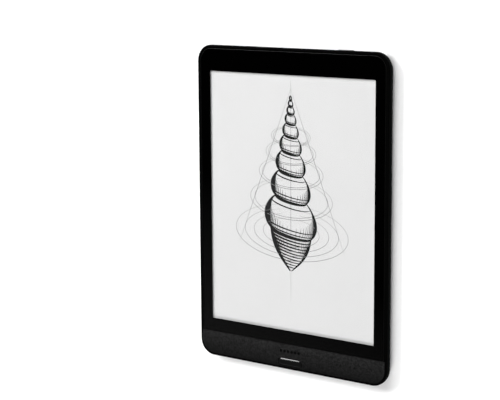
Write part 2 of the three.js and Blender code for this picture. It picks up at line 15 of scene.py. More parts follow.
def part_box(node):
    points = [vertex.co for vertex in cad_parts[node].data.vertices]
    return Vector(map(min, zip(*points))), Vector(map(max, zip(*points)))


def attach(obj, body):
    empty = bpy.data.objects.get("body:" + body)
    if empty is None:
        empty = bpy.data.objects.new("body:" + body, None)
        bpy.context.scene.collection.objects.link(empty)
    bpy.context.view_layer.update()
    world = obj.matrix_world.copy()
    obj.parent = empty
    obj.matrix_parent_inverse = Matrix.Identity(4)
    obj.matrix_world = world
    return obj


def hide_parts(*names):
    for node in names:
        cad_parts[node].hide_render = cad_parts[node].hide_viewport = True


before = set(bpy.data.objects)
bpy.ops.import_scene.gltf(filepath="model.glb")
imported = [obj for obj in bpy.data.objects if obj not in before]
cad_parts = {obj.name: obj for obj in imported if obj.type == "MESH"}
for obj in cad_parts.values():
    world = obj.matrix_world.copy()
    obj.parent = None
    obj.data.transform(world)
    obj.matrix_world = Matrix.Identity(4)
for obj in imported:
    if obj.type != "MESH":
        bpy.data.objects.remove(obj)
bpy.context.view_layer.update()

MM = 0.001
DEVICE = "device"
HOME_KEY = "home_key"
POWER_KEY = "power_key"


def box_mm(node):
    """Lowest and highest corner of a CAD node, in millimetres."""
    low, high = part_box(node)
    return low / MM, high / MM


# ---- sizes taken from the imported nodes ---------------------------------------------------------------

OUTER_LOW, OUTER_HIGH = box_mm("front_frame")
GLASS_LOW, GLASS_HIGH = box_mm("cover_glass")
TOUCH_LOW, TOUCH_HIGH = box_mm("touch_sensor")
HOME_LOW, HOME_HIGH = box_mm("home_button")
POWER_LOW, POWER_HIGH = box_mm("power_button")
USB_LOW, USB_HIGH = box_mm("usb_shell")
TONGUE_LOW, TONGUE_HIGH = box_mm("usb_tongue")

HALF_WIDTH = OUTER_HIGH.x
BOTTOM = OUTER_LOW.y
TOP = OUTER_HIGH.y
FRONT = OUTER_HIGH.z
SEAM = box_mm("rear_cover")[1].z
FILM_TOP = box_mm("eink_film")[1].z

USB_LENGTH = USB_HIGH.x - USB_LOW.x
USB_TALL = USB_HIGH.z - USB_LOW.z
USB_CENTRE_Z = (USB_LOW.z + USB_HIGH.z) / 2

# Roundings, walls and gaps of the mouldings.
CORNER_R = 10.0
EDGE_R = 5.4
WALL = 1.3
SEAM_GAP = 0.05
SEAM_CHAMFER = 0.14
RIM_ROUND = 0.6
EDGE_SOFTENING = 0.12
GLASS_GAP = 0.1
GLASS_LOW_CORNER_R = 1.2
BUTTON_GAP = 0.12
FLANGE_OVERHANG = 0.4

# The chin's face, inside the rim.
CHIN_TOP = GLASS_LOW.y - GLASS_GAP
CHIN_INSET = 1.45
CHIN_STEP = 0.04
CHIN_FACE = FRONT - CHIN_STEP
CHIN_DOT_FLOOR = CHIN_FACE - 0.07

# The front frame's skirt, which stands down inside the rear cover, and its other hidden faces.
SKIRT_OUTSIDE = 1.9
SKIRT_INSIDE = 5.8
SKIRT_UNDERSIDE = 4.95
LEDGE_UNDERSIDE = 6.0
LEDGE_TOP_Z = 6.55
CHIN_UNDERSIDE = 6.5
ARM_THICK = 0.5
ARM_FOOT = 4.4

# Snap clips between the two mouldings: places along each edge, counted from the bottom edge or the middle.
CLIPS = {"left": (22, 72, 122, 172), "right": (22, 72, 122, 172), "bottom": (-28, 28), "top": (-54, -18, 22)}
CLIP_LENGTH = 6

CORNER_STEPS = 24
CREASE = math.radians(35)
LEVEL_FACE = 0.9999
FAR = 300.0


# ---- outlines ----------------------------------------------------------------------------------------

def rounded_rect(x0, y0, x1, y1, radii, steps=CORNER_STEPS):
    """Points round a rectangle. radii: low left, low right, high right, high left."""
    corners = ((x0, y0, 1, 1), (x1, y0, -1, 1), (x1, y1, -1, -1), (x0, y1, 1, -1))
    points = []
    for corner, ((x, y, in_x, in_y), r) in enumerate(zip(corners, radii)):
        for step in range(steps + 1):
            angle = math.pi + (corner + step / steps) * math.pi / 2
            points.append((x + in_x * r + r * math.cos(angle), y + in_y * r + r * math.sin(angle)))
    return points


def device_outline(inset):
    radius = max(CORNER_R - inset, 0.2)
    sides = (-HALF_WIDTH + inset, BOTTOM + inset, HALF_WIDTH - inset, TOP - inset)
    return rounded_rect(*sides, (radius,) * 4)


def glass_outline(grow):
    low = max(GLASS_LOW_CORNER_R + grow, 0.05)
    high = CORNER_R - (HALF_WIDTH - GLASS_HIGH.x) + grow
    sides = (GLASS_LOW.x - grow, GLASS_LOW.y - grow, GLASS_HIGH.x + grow, GLASS_HIGH.y + grow)
    return rounded_rect(*sides, (low, low, high, high))


def pill(length, tall, centre_x, centre_y, inset=0.0, steps=16):
    half_long = length / 2 - inset
    half_tall = tall / 2 - inset
    sides = (centre_x - half_long, centre_y - half_tall, centre_x + half_long, centre_y + half_tall)
    return rounded_rect(*sides, (half_tall - 0.002,) * 4, steps)


def circle(radius, x, y, sides=20):
    turns = [2 * math.pi * i / sides for i in range(sides)]
    return [(x + radius * math.cos(turn), y + radius * math.sin(turn)) for turn in turns]


def quarter_round(inset_from, z_from, inset_to, z_to, steps, hollow=False):
    """Insets and heights along a quarter ellipse. It leaves its first end level, or upright when hollow."""
    rows = []
    for step in range(steps + 1):
        turn = step / steps * math.pi / 2
        across, up = math.sin(turn), 1 - math.cos(turn)
        if hollow:
            across, up = 1 - math.cos(turn), math.sin(turn)
        rows.append((inset_from + (inset_to - inset_from) * across, z_from + (z_to - z_from) * up))
    return rows


# ---- meshes ------------------------------------------------------------------------------------------

def make_object(name, bm):
    bmesh.ops.recalc_face_normals(bm, faces=bm.faces)
    bmesh.ops.scale(bm, vec=(MM, MM, MM), verts=bm.verts)
    mesh = bpy.data.meshes.new(name)
    bm.to_mesh(mesh)
    bm.free()
    mesh.shade_smooth()
    mesh.set_sharp_from_angle(angle=CREASE)
    obj = bpy.data.objects.new(name, mesh)
    bpy.context.scene.collection.objects.link(obj)
    return obj


def add_loft(bm, rings):
    """Skins rings of equally many points, and caps the two ends."""
    rows = [[bm.verts.new(point) for point in ring] for ring in rings]
    count = len(rows[0])
    for low, high in zip(rows, rows[1:]):
        for i in range(count):
            j = (i + 1) % count
            bm.faces.new((low[i], low[j], high[j], high[i]))
    bm.faces.new(list(reversed(rows[0])))
    bm.faces.new(rows[-1])


def loft(name, rings):
    bm = bmesh.new()
    add_loft(bm, rings)
    return make_object(name, bm)


def level(outline, z):
    return [(x, y, z) for x, y in outline]


def upright(outline, y):
    """An outline drawn across x and z, at one y."""
    return [(x, y, z) for x, z in outline]


def prism(outline, z0, z1):
    return loft("prism", [level(outline, z0), level(outline, z1)])


def block(x_span, y_span, z_span):
    corners = [(x, y) for x, y in ((0, 0), (1, 0), (1, 1), (0, 1))]
    return prism([(x_span[x], y_span[y]) for x, y in corners], *z_span)


def edge_block(edge, place, length, outside, inside, z_span):
    """A block at one edge of the device, between two distances in from the outline."""
    if edge in ("left", "right"):
        along = (BOTTOM + place - length / 2, BOTTOM + place + length / 2)
        spans = {"left": (-HALF_WIDTH + outside, -HALF_WIDTH + inside),
                 "right": (HALF_WIDTH - inside, HALF_WIDTH - outside)}
        return block(spans[edge], along, z_span)
    along = (place - length / 2, place + length / 2)
    spans = {"bottom": (BOTTOM + outside, BOTTOM + inside), "top": (TOP - inside, TOP - outside)}
    return block(along, spans[edge], z_span)


def every_clip(outside, inside, z_span):
    return [edge_block(edge, place, CLIP_LENGTH, outside, inside, z_span)
            for edge, places in CLIPS.items() for place in places]


def combine(target, tools, operation):
    """Joins or cuts the target with the tools by exact booleans, and removes the tools."""
    for tool in tools:
        modifier = target.modifiers.new(operation, "BOOLEAN")
        modifier.operation = operation
        modifier.solver = "EXACT"
        modifier.object = tool
    evaluated = target.evaluated_get(bpy.context.evaluated_depsgraph_get())
    mesh = bpy.data.meshes.new_from_object(evaluated)
    target.modifiers.clear()
    target.data = mesh
    weld(mesh)
    mesh.shade_smooth()
    mesh.set_sharp_from_angle(angle=CREASE)
    for tool in tools:
        bpy.data.objects.remove(tool)
    return target


def weld(mesh):
    """Merges the points that a cut leaves closer together than 2 micrometres."""
    bm = bmesh.new()
    bm.from_mesh(mesh)
    bmesh.ops.remove_doubles(bm, verts=bm.verts, dist=2e-6)
    bmesh.ops.dissolve_degenerate(bm, edges=bm.edges, dist=1e-6)
    bm.to_mesh(mesh)
    bm.free()


def soften(obj, segments):
    """Rounds the sharp edges a little."""
    bevel = obj.modifiers.new("bevel", "BEVEL")
    bevel.width = EDGE_SOFTENING * MM
    bevel.segments = segments
    bevel.limit_method = "ANGLE"
    bevel.angle_limit = math.radians(50)
    bevel.use_clamp_overlap = False


def weigh_normals(obj):
    """Lets the flat faces rule the shading."""
    normals = obj.modifiers.new("normals", "WEIGHTED_NORMAL")
    normals.keep_sharp = True
    normals.weight = 90
    return obj


def dress(obj, materials, body, slot, *replaced):
    """Gives a piece its materials and body, and hides the CAD nodes that it stands for. The slot is not used.
    """
    for material in materials:
        obj.data.materials.append(material)
    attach(obj, body)
    if replaced:
        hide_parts(*replaced)
    return obj


# ---- materials ---------------------------------------------------------------------------------------

def node_tree(name):
    material = bpy.data.materials.new(name)
    material.use_nodes = True
    return material, material.node_tree.nodes, material.node_tree.links


def noise_field(nodes, links, size_mm, detail=2.0, stretch=(1, 1, 1)):
    """Noise with features of about size_mm, fixed to the piece."""
    coordinates = nodes.new("ShaderNodeTexCoord")
    mapping = nodes.new("ShaderNodeMapping")
    mapping.inputs["Scale"].default_value = stretch
    noise = nodes.new("ShaderNodeTexNoise")
    noise.inputs["Scale"].default_value = 1 / (size_mm * MM)
    noise.inputs["Detail"].default_value = detail
    links.new(coordinates.outputs["Object"], mapping.inputs["Vector"])
    links.new(mapping.outputs["Vector"], noise.inputs["Vector"])
    return noise.outputs["Fac"]


def map_range(nodes, links, field, source, target):
    ranged = nodes.new("ShaderNodeMapRange")
    ranged.inputs["From Min"].default_value, ranged.inputs["From Max"].default_value = source
    ranged.inputs["To Min"].default_value, ranged.inputs["To Max"].default_value = target
    links.new(field, ranged.inputs["Value"])
    return ranged.outputs["Result"]


def spread(nodes, links, field, low, high):
    """Maps the middle of a noise field onto low to high."""
    return map_range(nodes, links, field, (0.25, 0.75), (low, high))


def blend_colours(nodes, links, factor, low, high):
    mix = nodes.new("ShaderNodeMix")
    mix.data_type = "RGBA"
    mix.inputs["A"].default_value = (*low, 1)
    mix.inputs["B"].default_value = (*high, 1)
    links.new(factor, mix.inputs["Factor"])
    return mix.outputs["Result"]


def scale_colour(nodes, links, colour, factor):
    multiply = nodes.new("ShaderNodeVectorMath")
    multiply.operation = "SCALE"
    links.new(colour, multiply.inputs[0])
    links.new(factor, multiply.inputs["Scale"])
    return multiply.outputs["Vector"]


def relief(nodes, links, shader, height, depth_mm):
    bump = nodes.new("ShaderNodeBump")
    bump.inputs["Distance"].default_value = depth_mm * MM
    links.new(height, bump.inputs["Height"])
    links.new(bump.outputs["Normal"], shader.inputs["Normal"])


def moulded(name, low, high, grain_mm, roughness, bump_mm=0.0, metallic=0.0, specular=0.5, stretch=(1, 1, 1)):
    """A surface whose colour varies with a fine grain and its roughness with a broad blotch."""
    material, nodes, links = node_tree(name)
    shader = nodes["Principled BSDF"]
    shader.inputs["Metallic"].default_value = metallic
    shader.inputs["Specular IOR Level"].default_value = specular
    grain = noise_field(nodes, links, grain_mm, 3.0, stretch)
    blotch = noise_field(nodes, links, grain_mm * 40)
    tone = blend_colours(nodes, links, spread(nodes, links, grain, 0, 1), low, high)
    links.new(tone, shader.inputs["Base Color"])
    links.new(spread(nodes, links, blotch, *roughness), shader.inputs["Roughness"])
    if bump_mm:
        relief(nodes, links, shader, grain, bump_mm)
    return material


def grey(value, tint=0.0):
    return (value, value, value * (1 + tint))


def chin_grain_and_painted_shade():
    """Satin grey with a spark-eroded grain, and painted shade: a little darker towards the bottom edge and
    lighter towards the top.
    """
    material, nodes, links = node_tree("chin_grey")
    shader = nodes["Principled BSDF"]
    shader.inputs["Specular IOR Level"].default_value = 0.09
    grain = noise_field(nodes, links, 0.28, 3.0)
    speckle = noise_field(nodes, links, 1.0, 3.0)
    tone = blend_colours(nodes, links, spread(nodes, links, grain, 0, 1), grey(0.0052), grey(0.0146, 0.01))
    tone = scale_colour(nodes, links, tone, spread(nodes, links, speckle, 0.1, 1.9))
    place = nodes.new("ShaderNodeTexCoord")
    axes = nodes.new("ShaderNodeSeparateXYZ")
    links.new(place.outputs["Object"], axes.inputs["Vector"])
    # Painted shade and painted highlight: the colour is scaled from 0.3 at the bottom edge up to 1.22 at the
    # chin's top.
    painted_shade_fade = map_range(nodes, links, axes.outputs["Y"], (BOTTOM * MM, CHIN_TOP * MM), (0.3, 1.22))
    links.new(scale_colour(nodes, links, tone, painted_shade_fade), shader.inputs["Base Color"])
    links.new(spread(nodes, links, speckle, 0.42, 0.5), shader.inputs["Roughness"])
    relief(nodes, links, shader, grain, 0.012)
    return material


def clear_sheet(name, tint, alpha):
    """A thin clear film: mostly see-through, with a faint haze."""
    material, nodes, links = node_tree(name)
    shader = nodes["Principled BSDF"]
    shader.inputs["Roughness"].default_value = 0.25
    shader.inputs["Specular IOR Level"].default_value = 0.0
    shader.inputs["Alpha"].default_value = alpha
    haze = noise_field(nodes, links, 30)
    tone = blend_colours(nodes, links, spread(nodes, links, haze, 0, 1), tint, grey(0.9))
    links.new(tone, shader.inputs["Base Color"])
    return material


def polished_glass():
    """Clear glass that refracts and reflects. Its piece lets lamps through by let_light_through."""
    material, nodes, links = node_tree("cover_glass")
    nodes.remove(nodes["Principled BSDF"])
    glass = nodes.new("ShaderNodeBsdfGlass")
    glass.inputs["IOR"].default_value = 1.5
    glass.inputs["Roughness"].default_value = 0.0
    haze = noise_field(nodes, links, 45)
    clear = blend_colours(nodes, links, spread(nodes, links, haze, 0, 1), grey(0.985), grey(0.995))
    links.new(clear, glass.inputs["Color"])
    links.new(glass.outputs["BSDF"], nodes["Material Output"].inputs["Surface"])
    return material


SHELL = moulded("shell_black", grey(0.0013), grey(0.003, 0.05), 0.22, (0.42, 0.5), 0.012, specular=0.008)
RIM = moulded("rim_black", grey(0.0007), grey(0.0016), 0.5, (0.26, 0.34), specular=0.005)
CHIN = chin_grain_and_painted_shade()
GLOSS = moulded("gloss_black", grey(0.0022), grey(0.0045), 0.5, (0.16, 0.22), specular=0.34)
PRINT = moulded("border_ink", grey(0.0001), grey(0.0003), 0.3, (0.5, 0.6), specular=0.0)
PAPER = moulded("electronic_paper", grey(0.545), grey(0.585), 0.12, (0.75, 0.85), 0.004, specular=0.1)
INK = moulded("screen_ink", grey(0.0021), grey(0.0062), 0.3, (0.7, 0.8), specular=0.02)
PENCIL = moulded("screen_pencil", grey(0.137), grey(0.206), 0.3, (0.7, 0.8), specular=0.1)
MARK = moulded("mark_black", grey(0.0011), grey(0.0022), 0.15, (0.5, 0.6), specular=0.02)
TAPE = moulded("tape", grey(0.6), grey(0.68), 0.4, (0.7, 0.8), 0.01)
FOAM = moulded("foam", grey(0.012), grey(0.03), 0.35, (0.85, 0.95), 0.05)
CHASSIS = moulded("chassis_alloy", grey(0.4), grey(0.5), 0.3, (0.38, 0.5), 0.006, 1.0, stretch=(1, 9, 1))
STEEL = moulded("bright_steel", grey(0.55), grey(0.66), 0.2, (0.22, 0.34), metallic=1.0, stretch=(8, 1, 1))
GOLD = moulded("contact_gold", (0.6, 0.38, 0.12), (0.75, 0.5, 0.2), 0.2, (0.2, 0.3), metallic=1.0)
BOARD = moulded("board_green", (0.006, 0.055, 0.02), (0.012, 0.09, 0.035), 0.8, (0.3, 0.42), 0.02)
FLEX = moulded("flex_amber", (0.26, 0.09, 0.012), (0.4, 0.16, 0.03), 0.5, (0.3, 0.42), stretch=(6, 1, 1))
CHIP = moulded("chip_black", grey(0.012), grey(0.02), 0.15, (0.45, 0.6), 0.008)
IVORY = moulded("ivory_plastic", (0.62, 0.57, 0.45), (0.7, 0.65, 0.53), 0.4, (0.45, 0.55), 0.006)
FOIL = moulded("battery_foil", grey(0.42, 0.06), grey(0.52, 0.06), 1.5, (0.28, 0.42), 0.03, 0.9)
PANEL = moulded("panel_glass", grey(0.03, 0.2), grey(0.05, 0.2), 1.0, (0.08, 0.15))
LEAD_RED = moulded("lead_red", (0.22, 0.008, 0.008), (0.3, 0.015, 0.012), 0.4, (0.4, 0.5))
LEAD_BLACK = moulded("lead_black", grey(0.008), grey(0.014), 0.4, (0.4, 0.5))
SENSOR = clear_sheet("touch_film", grey(0.88), 0.004)
GUIDE = clear_sheet("guide_film", grey(0.89), 0.004)
GLASS = polished_glass()
GROUND_EDGE = moulded("ground_edge", grey(0.0022), grey(0.0056), 0.2, (0.35, 0.45), specular=0.19)


# ---- mouldings ---------------------------------------------------------------------------------------

def dot_row(count, pitch, radius, centre_y, z_span):
    """Round pegs in one row along x, centred on the middle of the device."""
    xs = [(i - (count - 1) / 2) * pitch for i in range(count)]
    return [prism(circle(radius, x, centre_y), *z_span) for x in xs]


def rear_cover():
    """A tray: flat back with a row of shallow dots, quarter-round edge, thin wall with catches."""
    flat_from, flat_next = EDGE_R + 0.3, EDGE_R + 1.5
    lip_chamfer = 0.1
    profile = [(flat_next, 0), (flat_from, 0)]
    profile += quarter_round(EDGE_R, 0, 0, EDGE_R, 18)
    profile += [(0, SEAM - SEAM_CHAMFER), (SEAM_CHAMFER, SEAM)]
    profile += [(WALL - lip_chamfer, SEAM), (WALL, SEAM - lip_chamfer)]
    profile += quarter_round(WALL, EDGE_R, EDGE_R, WALL, 12, hollow=True)
    profile += [(flat_from, WALL), (flat_next, WALL)]
    cover = loft("rear_shell", [level(device_outline(inset), z) for inset, z in profile])
    combine(cover, [usb_cutter(), power_cutter()], "DIFFERENCE")
    soften(cover, 2)
    dot_depth, dots_below_top = 0.12, 19.1
    combine(cover, dot_row(9, 1.8, 0.5, TOP - dots_below_top, (-1, dot_depth)), "DIFFERENCE")
    catch_z = (4.85, 5.2)
    combine(cover, every_clip(WALL - 0.3, WALL + 0.4, catch_z), "UNION")
    level_normals(cover.data, 0, -1)
    return dress(cover, [SHELL], DEVICE, "shell", "rear_cover")


def usb_cutter():
    gap = 0.15
    outline = pill(USB_LENGTH + 2 * gap, USB_TALL + 2 * gap, 0, USB_CENTRE_Z)
    return loft("cutter", [upright(outline, BOTTOM - 1), upright(outline, BOTTOM + 4)])


def power_face():
    """The power button's pill: length, height and centre, without its flange."""
    flange_end = 0.9
    length = POWER_HIGH.x - POWER_LOW.x - 2 * flange_end
    low_z, high_z = 3.2, 5.6
    return length, high_z - low_z, (POWER_LOW.x + POWER_HIGH.x) / 2, (low_z + high_z) / 2


def power_cutter():
    length, tall, x, z = power_face()
    outline = pill(length + 2 * BUTTON_GAP, tall + 2 * BUTTON_GAP, x, z)
    return loft("cutter", [upright(outline, TOP - 3.5), upright(outline, TOP + 1)])


def home_centre():
    return (HOME_LOW.x + HOME_HIGH.x) / 2, (HOME_LOW.y + HOME_HIGH.y) / 2


def home_size():
    over = 2 * FLANGE_OVERHANG
    return HOME_HIGH.x - HOME_LOW.x - over, HOME_HIGH.y - HOME_LOW.y - over


def home_hole(low_z, high_z):
    length, tall = home_size()
    return prism(pill(length + 2 * BUTTON_GAP, tall + 2 * BUTTON_GAP, *home_centre()), low_z, high_z)


def front_frame():
    """Rim, chin and ledge in one moulding, with the skirt and clips that stand down inside the rear cover."""
    bottom_z = SEAM + SEAM_GAP
    arm_inside = SKIRT_OUTSIDE + ARM_THICK
    profile = [(arm_inside, bottom_z), (SEAM_CHAMFER, bottom_z), (0, bottom_z + SEAM_CHAMFER)]
    profile += quarter_round(0, FRONT - RIM_ROUND, RIM_ROUND, FRONT, 10, hollow=True)
    profile += [(RIM_ROUND + 0.25, FRONT)]
    body = loft("front_moulding", [level(device_outline(inset), z) for inset, z in profile])
    combine(body, [prism(glass_outline(GLASS_GAP), LEDGE_TOP_Z, FAR), home_hole(0, FAR)], "DIFFERENCE")
    soften(body, 3)
    overlap = 0.2
    hook_reach, hook_top = 0.45, 4.75
    skirt = prism(device_outline(SKIRT_OUTSIDE), SKIRT_UNDERSIDE, LEDGE_UNDERSIDE + overlap)
    arms = every_clip(SKIRT_OUTSIDE, arm_inside, (ARM_FOOT, SKIRT_UNDERSIDE + overlap))
    hooks = every_clip(SKIRT_OUTSIDE - hook_reach, arm_inside, (ARM_FOOT, hook_top))
    combine(body, [skirt, *arms, *hooks], "UNION")
    combine(body, [chin_recess(), *frame_cavities()], "DIFFERENCE")
    dress(body, [RIM, CHIN, MARK], DEVICE, "frame", "front_frame")
    split_at_chin(body)
    level_normals(body.data, FRONT, 1)
    level_normals(body.data, CHIN_FACE, 1)
    return body


def chin_recess():
    """What is cut away so that the chin's flat face lies a hair below the rim that runs round it."""
    corner, top_corner = CORNER_R - CHIN_INSET, 0.05
    into_glass_gap = 0.05
    half = HALF_WIDTH - CHIN_INSET
    sides = (-half, BOTTOM + CHIN_INSET, half, CHIN_TOP + into_glass_gap)
    return prism(rounded_rect(*sides, (corner, corner, top_corner, top_corner)), CHIN_FACE, FAR)


def frame_cavities():
    """The display's opening, the space inside the skirt, the bays and holes, and the chin's dots."""
    inner = HALF_WIDTH - SKIRT_INSIDE
    skirt_low = BOTTOM + SKIRT_INSIDE
    ledge_x = TOUCH_HIGH.x + 0.3
    ledge_y = (TOUCH_LOW.y - 0.3, TOUCH_HIGH.y + 0.2)
    chin_space_top = GLASS_LOW.y - 0.6
    socket_bay_x, socket_bay_y = (-16, 16), (BOTTOM + 1.5, skirt_low + 2)
    power_bay_x = (POWER_LOW.x - 1.85, POWER_HIGH.x + 1.85)
    power_bay_y = (TOP - 7.8, TOP - 1.8)
    screw_r, screw_hole_top = 0.6, 5.95
    screws = [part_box(name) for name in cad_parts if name.startswith("frame_screw_")]
    middles = [(low + high) / 2 / MM for low, high in screws]
    dots_above_button = 6.9
    return [
        block((-ledge_x, ledge_x), ledge_y, (0, FAR)),
        block((-inner, inner), (skirt_low, TOP - SKIRT_INSIDE), (0, LEDGE_UNDERSIDE)),
        block((-inner, inner), (skirt_low, chin_space_top), (0, CHIN_UNDERSIDE)),
        block(socket_bay_x, socket_bay_y, (0, CHIN_UNDERSIDE)),
        block(power_bay_x, power_bay_y, (0, LEDGE_UNDERSIDE - 0.02)),
        home_hole(0, CHIN_UNDERSIDE + 0.1),
        *[prism(circle(screw_r, middle.x, middle.y, 12), 0, screw_hole_top) for middle in middles],
        *dot_row(6, 2.6, 0.95, home_centre()[1] + dots_above_button, (CHIN_DOT_FLOOR, FAR)),
    ]


def level_normals(mesh, height, up):
    """Shades every face corner at one height straight up or down, on faces that aren't upright."""
    normals = [tuple(normal.vector) for normal in mesh.corner_normals]
    for face in mesh.polygons:
        if face.normal.z * up > 0.3:
            for loop in face.loop_indices:
                if abs(mesh.vertices[mesh.loops[loop].vertex_index].co.z - height * MM) < 1e-7:
                    normals[loop] = (0, 0, up)
    mesh.normals_split_custom_set(normals)


def split_at_chin(body):
    """Gives the chin's flat face the second material, and the bottoms of its shallow dots the third."""
    levels = ((CHIN_FACE, 1), (CHIN_DOT_FLOOR, 2))
    for face in body.data.polygons:
        for height, material in levels:
            if face.normal.z > LEVEL_FACE and abs(face.center.z / MM - height) < 0.01:
                face.material_index = material


# ---- glass, screen and what it shows -----------------------------------------------------------------

def cover_glass():
    """The glass sheet: two polished faces with a rounded, ground edge between them."""
    edge, low_chamfer = 0.18, 0.06
    profile = [(low_chamfer, GLASS_LOW.z), (0, GLASS_LOW.z + low_chamfer)]
    profile += quarter_round(0, GLASS_HIGH.z - edge, edge, GLASS_HIGH.z, 5, hollow=True)
    profile += [(edge + 0.25, GLASS_HIGH.z)]
    sheet = loft("cover_lens", [level(glass_outline(-inset), z) for inset, z in profile])
    dress(weigh_normals(sheet), [GLASS, GROUND_EDGE], DEVICE, "glass", "cover_glass")
    let_light_through(sheet)
    for face in sheet.data.polygons:
        face.material_index = 0 if abs(face.normal.z) > LEVEL_FACE else 1
    return sheet


def add_stroke(bm, points, widest, taper=0.35, lead=1.0):
    """A thin raised ribbon, tapered to both ends. A lead under 1 shifts its widest place to its start."""
    # Neighbouring strokes get slightly different heights, so that their tops never share a plane.
    top = FILM_TOP + 0.02 + 0.0004 * (len(bm.verts) % 37)
    rings = []
    last = len(points) - 1
    for i, (x, y) in enumerate(points):
        ahead, behind = points[min(i + 1, last)], points[max(i - 1, 0)]
        along = Vector((ahead[0] - behind[0], ahead[1] - behind[1])).normalized()
        half = widest / 2 * (taper + (1 - taper) * math.sin(math.pi * (i / last) ** lead))
        side = Vector((-along.y, along.x)) * half
        near, far = (x - side.x, y - side.y), (x + side.x, y + side.y)
        rings.append([(*near, FILM_TOP), (*far, FILM_TOP), (*far, top), (*near, top)])
    add_loft(bm, rings)


class Spire:
    """A plain spiral shell in outline: whorls that shrink by one ratio from the base up to the tip."""
    tip_y = 70.0
    base_y = -13.0
    base_drop = 24.0
    half_width = 17.5
    ratio = 0.78
    whorls = 9
    slant = -0.16
    bulge = 0.16
    front = 0.2

    def suture(self, k):
        """Height of the lower edge of whorl k, counted up from the base."""
        share = (1 - self.ratio ** k) / (1 - self.ratio ** self.whorls)
        return self.base_y + (self.tip_y - self.base_y) * share

    def around(self, y, radius, turn):
        """A place on the level ring at height y: turn is -90 degrees at the left and 90 at the right."""
        x = radius * math.sin(turn)
        return x, y - self.front * radius * math.cos(turn) + self.slant * x

    def point(self, k, up, turn):
        """A place on whorl k, with up from 0 to 1."""
        y = self.suture(k) + (self.suture(k + 1) - self.suture(k)) * up
        cone = self.half_width * (self.tip_y + 1.5 - y) / (self.tip_y + 1.5 - self.base_y)
        swell = 1 - self.bulge + 2 * self.bulge * math.sin(math.pi * up) ** 0.7
        return self.around(y, cone * swell, turn)

    def base_point(self, down, turn):
        """A place on the base, which narrows from the lowest suture to a blunt end. down is 0 to 1."""
        radius = self.half_width * (1 - self.bulge) * (1 - down + 0.2 * math.sin(math.pi * down))
        return self.around(self.base_y - self.base_drop * down, radius, turn)


EDGE_TURN = math.pi / 2


def run(first, last, steps):
    return [first + (last - first) * i / steps for i in range(steps + 1)]


def add_upright_lines(bm, place, count, widest, reach):
    """Growth lines from a suture: crowded at the two sides, and heaviest at the left, in the shade."""
    for i in range(count):
        lean = (i + 0.5) / count * 2 - 1
        turn = EDGE_TURN * math.copysign(abs(lean) ** 0.6, lean)
        rows = run(0.03, reach * (0.35 + 0.65 * abs(lean)), 8)
        shade = 1.0 if lean < 0 else 0.5
        wide = 0.28 + widest * shade * abs(lean) ** 1.5
        add_stroke(bm, [place(up, turn + 0.12 * up) for up in rows], wide)


def add_spire(bm):
    """Whorl edges, sutures, level cords and growth lines, over a base that narrows to a blunt end."""
    spire = Spire()
    for k in range(spire.whorls):
        size = spire.ratio ** k
        for side, wide in ((-EDGE_TURN, 0.9 + 1.6 * size), (EDGE_TURN, 0.6 + 0.8 * size)):
            add_stroke(bm, [spire.point(k, up, side) for up in run(0, 1, 14)], wide)
        turns = run(-EDGE_TURN, EDGE_TURN, 24)
        add_stroke(bm, [spire.point(k, 0, turn) for turn in turns], 0.9 + 1.4 * size, lead=0.6)
        for up in (0.12, 0.24, 0.86):
            cord = [spire.point(k, up, turn) for turn in run(-1.5, 1.35, 20)]
            add_stroke(bm, cord, 0.35 + 0.5 * size, lead=0.6)
        add_upright_lines(bm, partial(spire.point, k), max(9, round(34 * size)), 1.3 * size, 0.95)
    for side, wide in ((-EDGE_TURN, 2.4), (EDGE_TURN, 1.5)):
        add_stroke(bm, [spire.base_point(down, side) for down in run(0, 0.98, 20)], wide)
    for down in run(0.1, 0.86, 9):
        cord = [spire.base_point(down, turn) for turn in run(-1.5, 1.4, 20)]
        add_stroke(bm, cord, 1.2 - 0.6 * down, lead=0.6)
    add_upright_lines(bm, spire.base_point, 26, 1.3, 0.9)


def add_guides(bm):
    """The faint lines that such a drawing is set out with: an axis, two slopes and some level ellipses."""
    spire = Spire()
    add_stroke(bm, [(0, y) for y in run(spire.tip_y + 9, spire.base_y - 42, 30)], 0.3)
    for side in (-1, 1):
        foot_x = side * spire.half_width * 2.2
        add_stroke(bm, [(foot_x * t, spire.tip_y + 4 - (spire.tip_y + 14 - spire.base_y) * t)
                        for t in run(0, 1, 24)], 0.3)
    for k in range(0, 5):
        y = spire.suture(k)
        reach = 34 * spire.ratio ** k
        for grow in (1.0, 1.12) if k else (0.6, 0.8, 1.0, 1.2):
            ellipse = [(reach * grow * math.sin(turn), y - 0.42 * reach * grow * math.cos(turn))
                       for turn in run(-0.93 * math.pi, 0.93 * math.pi, 60)]
            add_stroke(bm, ellipse, 0.3)


def screen_drawing():
    """What the screen shows: a generic drawing of a spiral shell, as ink and pencil strokes on the film."""
    for name, draw, material in (("screen_ink", add_spire, INK), ("screen_guides", add_guides, PENCIL)):
        bm = bmesh.new()
        draw(bm)
        dress(make_object(name, bm), [material], DEVICE, "print")


# ---- buttons -----------------------------------------------------------------------------------------

def home_button():
    """A glossy pill with a narrow sloping shoulder and a flange under the chin."""
    length, tall = home_size()
    x, y = home_centre()
    flange_top = HOME_LOW.z + 0.25
    slope_in, slope_drop = 0.62, 0.25
    edge = 0.1
    profile = [(-FLANGE_OVERHANG, HOME_LOW.z), (-FLANGE_OVERHANG, flange_top), (0, flange_top)]
    shoulder = HOME_HIGH.z - slope_drop
    profile += quarter_round(0, shoulder - edge, edge, shoulder, 4, hollow=True)
    profile += [(slope_in, HOME_HIGH.z - 0.02)]
    profile += [(slope_in + 0.1, HOME_HIGH.z), (slope_in + 0.3, HOME_HIGH.z)]
    rings = [level(pill(length, tall, x, y, inset), z) for inset, z in profile]
    return dress(weigh_normals(loft("home_pill", rings)), [GLOSS], HOME_KEY, "gloss", "home_button")


